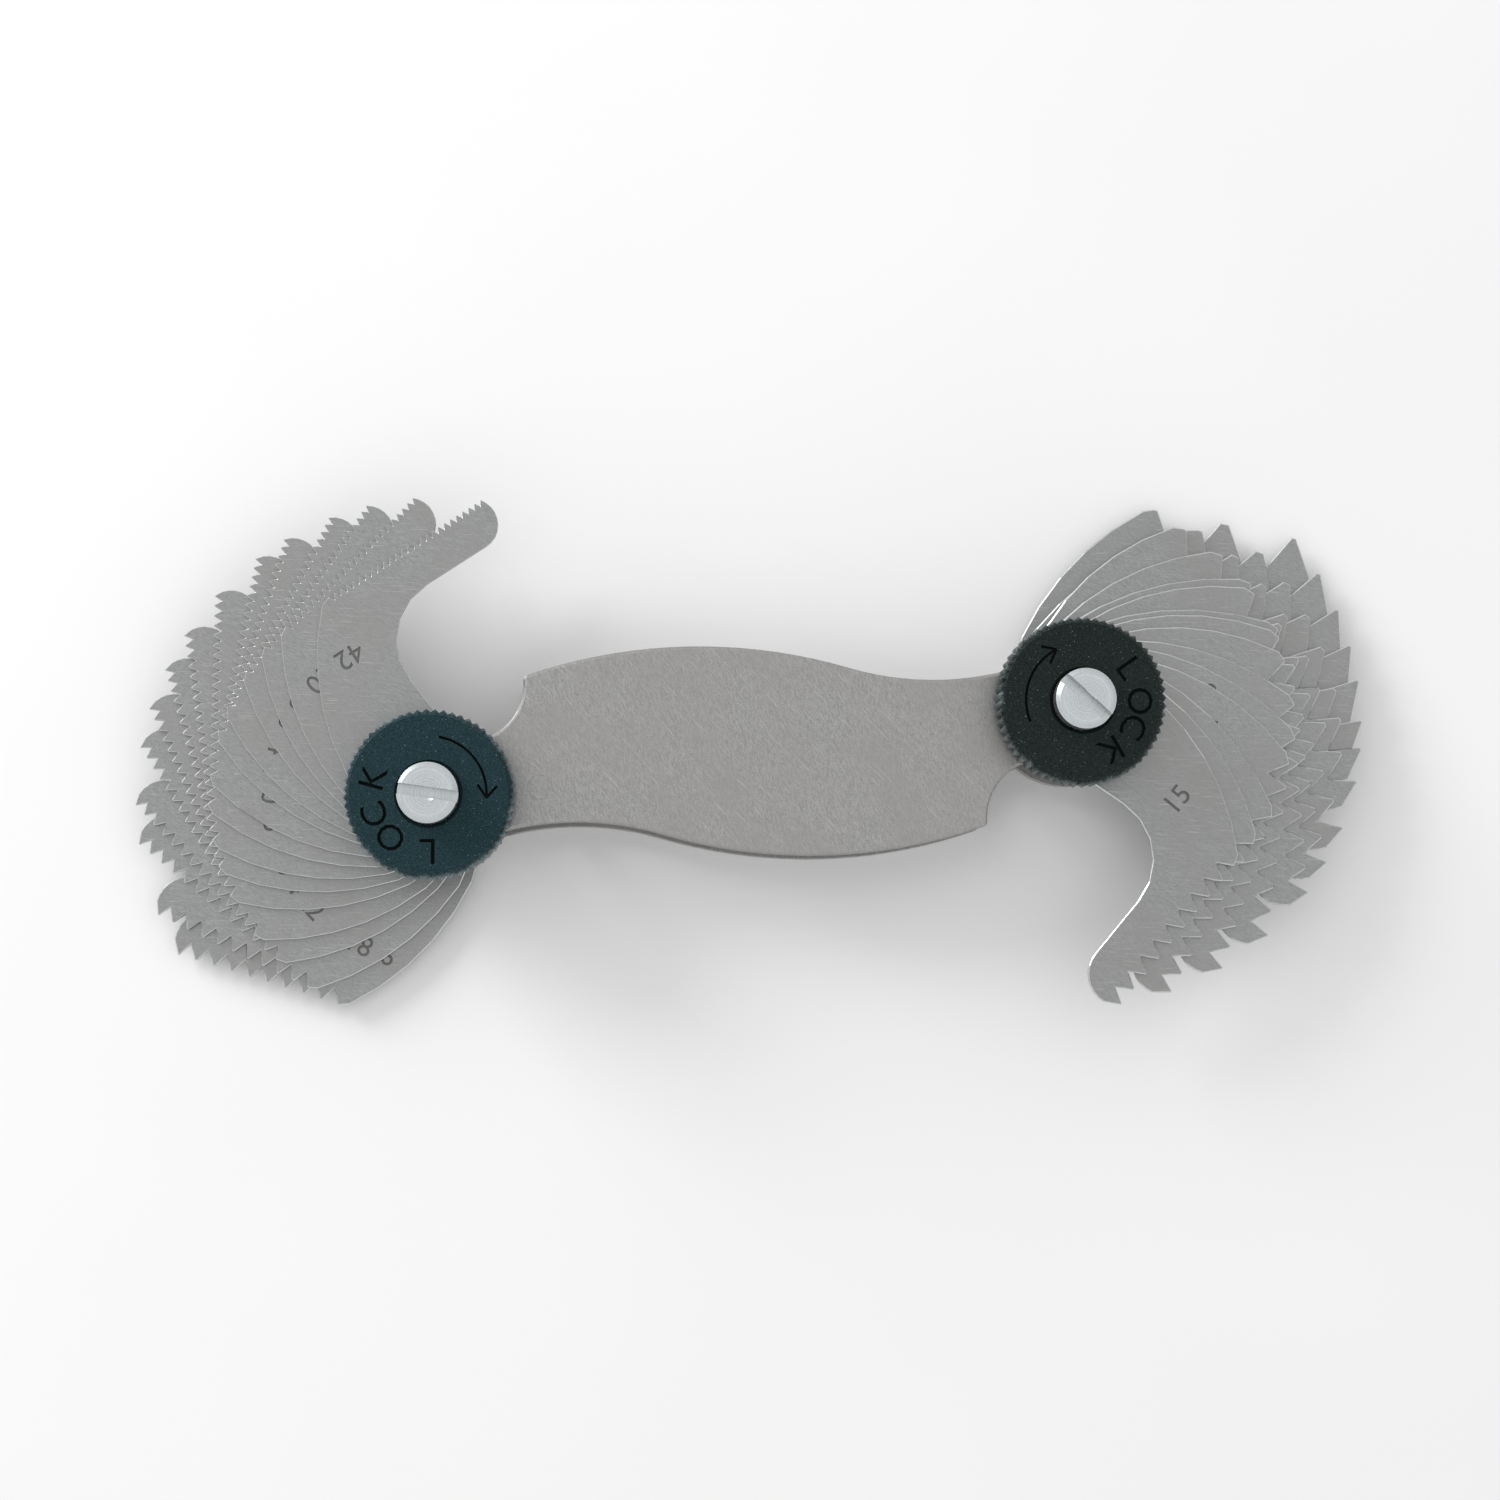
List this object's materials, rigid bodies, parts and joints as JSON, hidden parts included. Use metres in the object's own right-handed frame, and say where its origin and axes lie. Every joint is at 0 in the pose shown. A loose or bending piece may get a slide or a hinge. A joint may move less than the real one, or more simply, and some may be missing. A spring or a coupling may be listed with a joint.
{
  "type": "thread pitch gauge",
  "caption": "Folding thread pitch gauge: two fans of toothed steel leaves turn on studs at the ends of an S-shaped two-plate case, each held by a knurled lock nut.",
  "frame": {"origin": "centre of the back plate's outer face, on the line between the two studs", "axes": "+X from the fine-pitch stud to the coarse-pitch stud, +Z out of the case towards the lock nuts"},
  "size_m": [0.1053, 0.0507, 0.0143],
  "materials": {
    "plate_steel": "satin, fine upright grain",
    "leaf_steel": "satin ground spring steel",
    "bright_steel": "turned, bright",
    "black_oxide_steel": "black oxide, worn on the knurl"
  },
  "bodies": {
    "case": {"back_plate": "plate_steel", "front_plate": "plate_steel", "middle_spacer": "plate_steel", "stop_pin_left": "bright_steel", "stop_pin_right": "bright_steel", "stud_left": "bright_steel", "stud_right": "bright_steel"},
    "leaf_42_tpi": {"leaf_42_tpi": "leaf_steel"},
    "leaf_40_tpi": {"leaf_40_tpi": "leaf_steel"},
    "leaf_38_tpi": {"leaf_38_tpi": "leaf_steel"},
    "leaf_36_tpi": {"leaf_36_tpi": "leaf_steel"},
    "leaf_34_tpi": {"leaf_34_tpi": "leaf_steel"},
    "leaf_32_tpi": {"leaf_32_tpi": "leaf_steel"},
    "leaf_30_tpi": {"leaf_30_tpi": "leaf_steel"},
    "leaf_28_tpi": {"leaf_28_tpi": "leaf_steel"},
    "leaf_27_tpi": {"leaf_27_tpi": "leaf_steel"},
    "leaf_26_tpi": {"leaf_26_tpi": "leaf_steel"},
    "leaf_24_tpi": {"leaf_24_tpi": "leaf_steel"},
    "leaf_22_tpi": {"leaf_22_tpi": "leaf_steel"},
    "leaf_20_tpi": {"leaf_20_tpi": "leaf_steel"},
    "leaf_18_tpi": {"leaf_18_tpi": "leaf_steel"},
    "leaf_16_tpi": {"leaf_16_tpi": "leaf_steel"},
    "leaf_15_tpi": {"leaf_15_tpi": "leaf_steel"},
    "leaf_14_tpi": {"leaf_14_tpi": "leaf_steel"},
    "leaf_13_tpi": {"leaf_13_tpi": "leaf_steel"},
    "leaf_12_tpi": {"leaf_12_tpi": "leaf_steel"},
    "leaf_11_5_tpi": {"leaf_11_5_tpi": "leaf_steel"},
    "leaf_11_tpi": {"leaf_11_tpi": "leaf_steel"},
    "leaf_10_tpi": {"leaf_10_tpi": "leaf_steel"},
    "leaf_9_tpi": {"leaf_9_tpi": "leaf_steel"},
    "leaf_8_tpi": {"leaf_8_tpi": "leaf_steel"},
    "leaf_7_tpi": {"leaf_7_tpi": "leaf_steel"},
    "leaf_6_tpi": {"leaf_6_tpi": "leaf_steel"},
    "leaf_5_5_tpi": {"leaf_5_5_tpi": "leaf_steel"},
    "leaf_5_tpi": {"leaf_5_tpi": "leaf_steel"},
    "leaf_4_5_tpi": {"leaf_4_5_tpi": "leaf_steel"},
    "leaf_4_tpi": {"leaf_4_tpi": "leaf_steel"},
    "washer_left": {"washer_left": "bright_steel"},
    "lock_nut_left": {"lock_nut_left": "black_oxide_steel"},
    "washer_right": {"washer_right": "bright_steel"},
    "lock_nut_right": {"lock_nut_right": "black_oxide_steel"}
  },
  "joints": [
    {"name": "leaf_42_tpi_turn", "type": "hinge", "parent": "case", "child": "leaf_42_tpi", "pos_m": [-0.02725, 0, 0.004], "axis": [0, 0, 1], "range_deg": [-81, 199]},
    {"name": "leaf_40_tpi_turn", "type": "hinge", "parent": "case", "child": "leaf_40_tpi", "pos_m": [-0.02725, 0, 0.004], "axis": [0, 0, 1], "range_deg": [-94, 186]},
    {"name": "leaf_38_tpi_turn", "type": "hinge", "parent": "case", "child": "leaf_38_tpi", "pos_m": [-0.02725, 0, 0.004], "axis": [0, 0, 1], "range_deg": [-103, 177]},
    {"name": "leaf_36_tpi_turn", "type": "hinge", "parent": "case", "child": "leaf_36_tpi", "pos_m": [-0.02725, 0, 0.004], "axis": [0, 0, 1], "range_deg": [-110.5, 169.5]},
    {"name": "leaf_34_tpi_turn", "type": "hinge", "parent": "case", "child": "leaf_34_tpi", "pos_m": [-0.02725, 0, 0.004], "axis": [0, 0, 1], "range_deg": [-120, 160]},
    {"name": "leaf_32_tpi_turn", "type": "hinge", "parent": "case", "child": "leaf_32_tpi", "pos_m": [-0.02725, 0, 0.004], "axis": [0, 0, 1], "range_deg": [-126.5, 153.5]},
    {"name": "leaf_30_tpi_turn", "type": "hinge", "parent": "case", "child": "leaf_30_tpi", "pos_m": [-0.02725, 0, 0.004], "axis": [0, 0, 1], "range_deg": [-137, 143]},
    {"name": "leaf_28_tpi_turn", "type": "hinge", "parent": "case", "child": "leaf_28_tpi", "pos_m": [-0.02725, 0, 0.004], "axis": [0, 0, 1], "range_deg": [-146.5, 133.5]},
    {"name": "leaf_27_tpi_turn", "type": "hinge", "parent": "case", "child": "leaf_27_tpi", "pos_m": [-0.02725, 0, 0.004], "axis": [0, 0, 1], "range_deg": [-154, 126]},
    {"name": "leaf_26_tpi_turn", "type": "hinge", "parent": "case", "child": "leaf_26_tpi", "pos_m": [-0.02725, 0, 0.004], "axis": [0, 0, 1], "range_deg": [-162, 118]},
    {"name": "leaf_24_tpi_turn", "type": "hinge", "parent": "case", "child": "leaf_24_tpi", "pos_m": [-0.02725, 0, 0.004], "axis": [0, 0, 1], "range_deg": [-169.5, 110.5]},
    {"name": "leaf_22_tpi_turn", "type": "hinge", "parent": "case", "child": "leaf_22_tpi", "pos_m": [-0.02725, 0, 0.004], "axis": [0, 0, 1], "range_deg": [-180.5, 99.5]},
    {"name": "leaf_20_tpi_turn", "type": "hinge", "parent": "case", "child": "leaf_20_tpi", "pos_m": [-0.02725, 0, 0.004], "axis": [0, 0, 1], "range_deg": [-188, 92]},
    {"name": "leaf_18_tpi_turn", "type": "hinge", "parent": "case", "child": "leaf_18_tpi", "pos_m": [-0.02725, 0, 0.004], "axis": [0, 0, 1], "range_deg": [-202, 78]},
    {"name": "leaf_16_tpi_turn", "type": "hinge", "parent": "case", "child": "leaf_16_tpi", "pos_m": [-0.02725, 0, 0.004], "axis": [0, 0, 1], "range_deg": [-210.5, 69.5]},
    {"name": "leaf_15_tpi_turn", "type": "hinge", "parent": "case", "child": "leaf_15_tpi", "pos_m": [0.02725, 0, 0.004], "axis": [0, 0, 1], "range_deg": [-98, 182]},
    {"name": "leaf_14_tpi_turn", "type": "hinge", "parent": "case", "child": "leaf_14_tpi", "pos_m": [0.02725, 0, 0.004], "axis": [0, 0, 1], "range_deg": [-108, 172]},
    {"name": "leaf_13_tpi_turn", "type": "hinge", "parent": "case", "child": "leaf_13_tpi", "pos_m": [0.02725, 0, 0.004], "axis": [0, 0, 1], "range_deg": [-119, 161]},
    {"name": "leaf_12_tpi_turn", "type": "hinge", "parent": "case", "child": "leaf_12_tpi", "pos_m": [0.02725, 0, 0.004], "axis": [0, 0, 1], "range_deg": [-130, 150]},
    {"name": "leaf_11_5_tpi_turn", "type": "hinge", "parent": "case", "child": "leaf_11_5_tpi", "pos_m": [0.02725, 0, 0.004], "axis": [0, 0, 1], "range_deg": [-141.5, 138.5]},
    {"name": "leaf_11_tpi_turn", "type": "hinge", "parent": "case", "child": "leaf_11_tpi", "pos_m": [0.02725, 0, 0.004], "axis": [0, 0, 1], "range_deg": [-148.5, 131.5]},
    {"name": "leaf_10_tpi_turn", "type": "hinge", "parent": "case", "child": "leaf_10_tpi", "pos_m": [0.02725, 0, 0.004], "axis": [0, 0, 1], "range_deg": [-156, 124]},
    {"name": "leaf_9_tpi_turn", "type": "hinge", "parent": "case", "child": "leaf_9_tpi", "pos_m": [0.02725, 0, 0.004], "axis": [0, 0, 1], "range_deg": [-165.5, 114.5]},
    {"name": "leaf_8_tpi_turn", "type": "hinge", "parent": "case", "child": "leaf_8_tpi", "pos_m": [0.02725, 0, 0.004], "axis": [0, 0, 1], "range_deg": [-172, 108]},
    {"name": "leaf_7_tpi_turn", "type": "hinge", "parent": "case", "child": "leaf_7_tpi", "pos_m": [0.02725, 0, 0.004], "axis": [0, 0, 1], "range_deg": [-177.5, 102.5]},
    {"name": "leaf_6_tpi_turn", "type": "hinge", "parent": "case", "child": "leaf_6_tpi", "pos_m": [0.02725, 0, 0.004], "axis": [0, 0, 1], "range_deg": [-185.5, 94.5]},
    {"name": "leaf_5_5_tpi_turn", "type": "hinge", "parent": "case", "child": "leaf_5_5_tpi", "pos_m": [0.02725, 0, 0.004], "axis": [0, 0, 1], "range_deg": [-192.5, 87.5]},
    {"name": "leaf_5_tpi_turn", "type": "hinge", "parent": "case", "child": "leaf_5_tpi", "pos_m": [0.02725, 0, 0.004], "axis": [0, 0, 1], "range_deg": [-200, 80]},
    {"name": "leaf_4_5_tpi_turn", "type": "hinge", "parent": "case", "child": "leaf_4_5_tpi", "pos_m": [0.02725, 0, 0.004], "axis": [0, 0, 1], "range_deg": [-208, 72]},
    {"name": "leaf_4_tpi_turn", "type": "hinge", "parent": "case", "child": "leaf_4_tpi", "pos_m": [0.02725, 0, 0.004], "axis": [0, 0, 1], "range_deg": [-216.5, 63.5]},
    {"name": "lock_nut_left_rise", "type": "slide", "parent": "case", "child": "washer_left", "axis": [0, 0, 1], "range_m": [0, 0.0004]},
    {"name": "lock_nut_left_turn", "type": "hinge", "parent": "washer_left", "child": "lock_nut_left", "pos_m": [-0.02725, 0, 0.01], "axis": [0, 0, 1], "range_deg": [0, 180.5]},
    {"name": "lock_nut_right_rise", "type": "slide", "parent": "case", "child": "washer_right", "axis": [0, 0, 1], "range_m": [0, 0.0004]},
    {"name": "lock_nut_right_turn", "type": "hinge", "parent": "washer_right", "child": "lock_nut_right", "pos_m": [0.02725, 0, 0.01], "axis": [0, 0, 1], "range_deg": [0, 180.5]}
  ],
  "couplings": [
    {"joint": "lock_nut_left_turn", "follows": "lock_nut_left_rise", "rad_per_m": 7854},
    {"joint": "lock_nut_right_turn", "follows": "lock_nut_right_rise", "rad_per_m": 7854}
  ]
}
